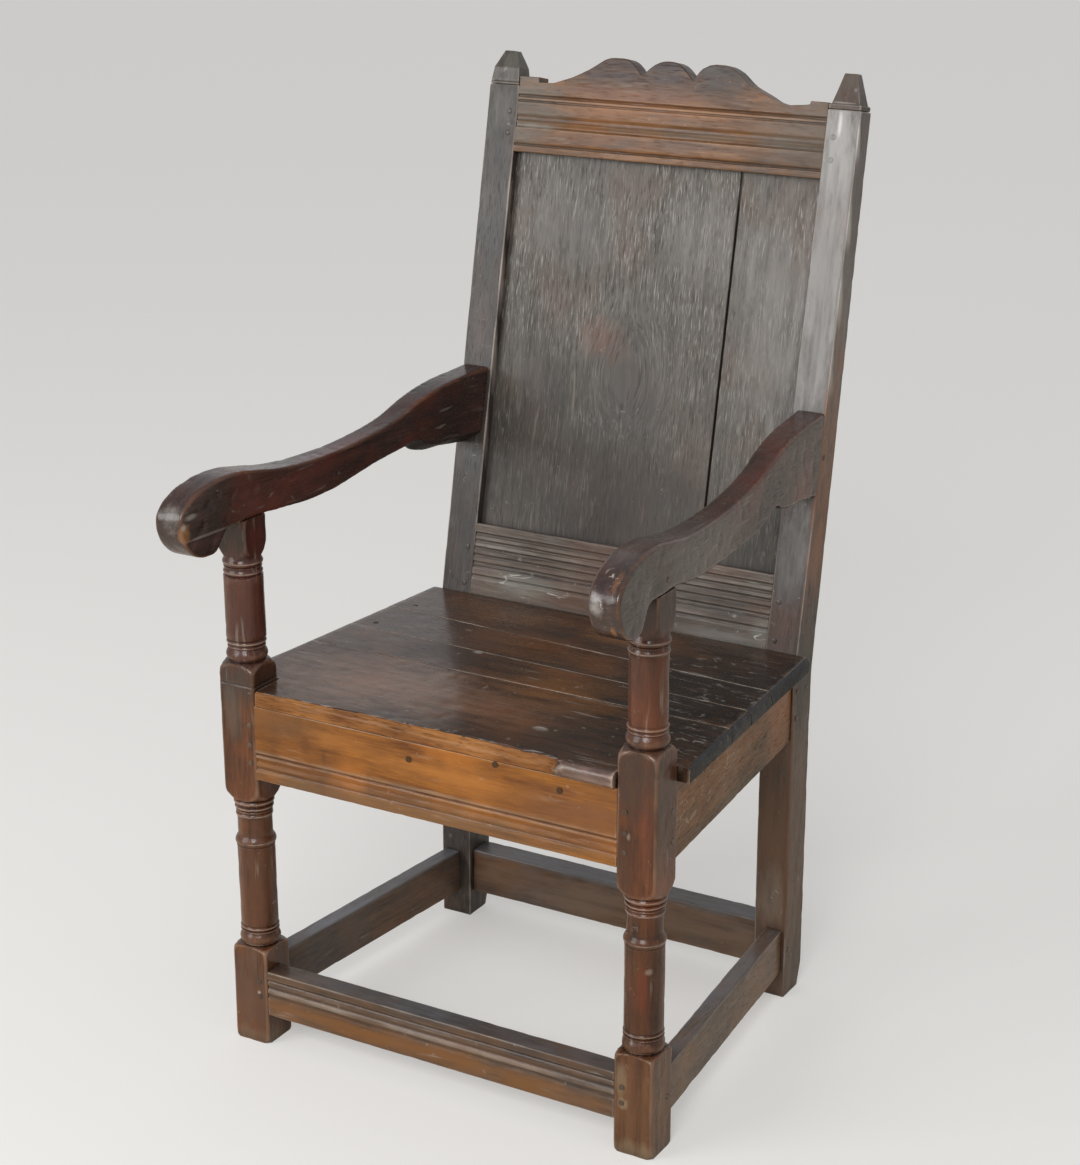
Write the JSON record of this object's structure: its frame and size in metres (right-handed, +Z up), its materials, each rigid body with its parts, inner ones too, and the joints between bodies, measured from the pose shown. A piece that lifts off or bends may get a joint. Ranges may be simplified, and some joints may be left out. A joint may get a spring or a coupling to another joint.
{
  "type": "armchair",
  "caption": "Joined oak armchair with a raked panelled back under a scrolled cresting, shaped open arms on turned front legs, a boarded seat and low stretchers.",
  "frame": {"origin": "middle of the chair's box, on the floor", "axes": "+Z up, the sitter faces -Y, +X to the right of someone facing the chair"},
  "size_m": [0.5818, 0.6704, 1.1],
  "materials": {
    "oak_frame": "dark waxed oak, worn at the arrises",
    "oak_moulded_rail": "dark waxed oak, warmer brown, scratch-moulded",
    "oak_panel": "dry dark oak with open grain",
    "oak_seat": "dark oak polished by use",
    "oak_arm": "dark oak polished by hands",
    "oak_pegs": "dark riven oak",
    "iron_nails": "hand-forged, rusted dark"
  },
  "bodies": {
    "root": {"arm_left": "oak_arm", "arm_right": "oak_arm", "finial_dowels": "oak_pegs", "finial_left": "oak_frame", "finial_right": "oak_frame", "front_leg_left": "oak_frame", "front_leg_right": "oak_frame", "front_rail_nails": "iron_nails", "front_seat_rail": "oak_moulded_rail", "front_stretcher": "oak_frame", "lower_back_rail": "oak_frame", "panel_board_narrow": "oak_panel", "panel_board_wide": "oak_panel", "pegs_arms": "oak_pegs", "pegs_back_frame": "oak_pegs", "pegs_front_rail": "oak_pegs", "pegs_rear_rail": "oak_pegs", "pegs_side_rails": "oak_pegs", "pegs_stretchers": "oak_pegs", "rear_post_left": "oak_frame", "rear_post_right": "oak_frame", "rear_seat_rail": "oak_frame", "rear_stretcher": "oak_frame", "seat_board_back": "oak_seat", "seat_board_front": "oak_seat", "seat_board_middle_back": "oak_seat", "seat_board_middle_front": "oak_seat", "seat_nails": "iron_nails", "side_seat_rail_left": "oak_frame", "side_seat_rail_right": "oak_frame", "side_stretcher_left": "oak_frame", "side_stretcher_right": "oak_frame", "top_rail": "oak_moulded_rail"}
  },
  "joints": []
}
